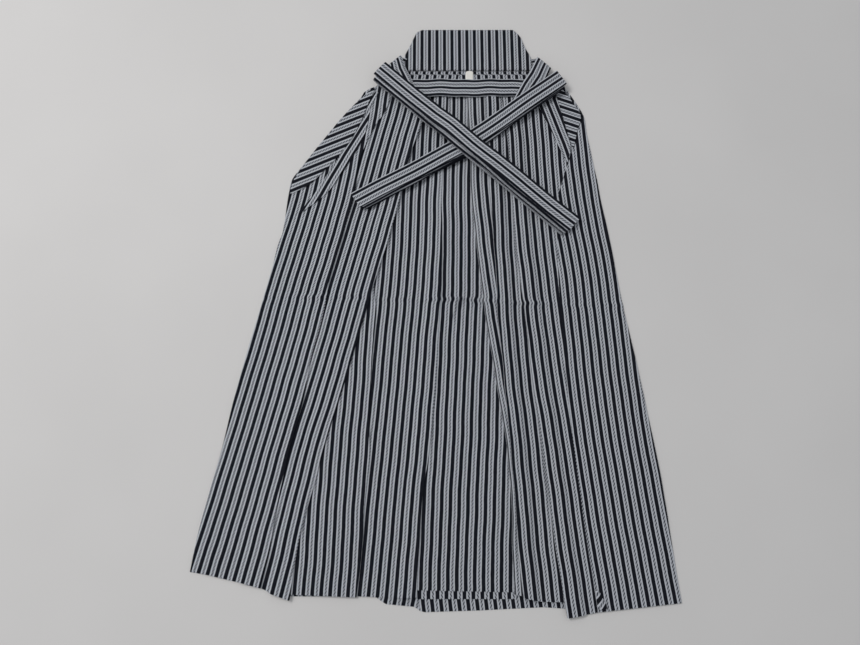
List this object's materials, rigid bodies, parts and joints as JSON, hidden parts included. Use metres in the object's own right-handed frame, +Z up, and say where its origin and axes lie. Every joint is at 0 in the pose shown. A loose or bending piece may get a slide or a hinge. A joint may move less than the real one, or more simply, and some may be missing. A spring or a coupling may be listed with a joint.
{
  "type": "pleated hakama trousers",
  "caption": "Striped pleated formal trousers laid flat front side up, with a stiff back board and long ties folded into two crossed bundles.",
  "frame": {"origin": "middle of the rectangle the laid garment covers, on the surface it rests on", "axes": "+X to the right seen from above with the waist away from the viewer, +Y from the hem to the waist, +Z up from the surface"},
  "size_m": [0.8256, 1.1085, 0.0278],
  "materials": {
    "striped_cloth": "matt woven stripe",
    "striped_tie_cloth": "matt woven stripe, pressed flat",
    "white_tab": "satin"
  },
  "bodies": {
    "root": {"back_left": "striped_cloth", "back_right": "striped_cloth", "gusset": "striped_cloth", "front_left": "striped_cloth", "front_right": "striped_cloth", "back_slit_turn_left": "striped_cloth", "back_slit_turn_right": "striped_cloth", "front_slit_turn_left": "striped_cloth", "front_slit_turn_right": "striped_cloth", "back_board": "striped_cloth", "back_tab": "white_tab", "front_band": "striped_cloth", "back_tie_left": "striped_tie_cloth", "back_tie_right": "striped_tie_cloth", "front_tie_left": "striped_tie_cloth", "front_tie_right": "striped_tie_cloth"}
  },
  "joints": []
}
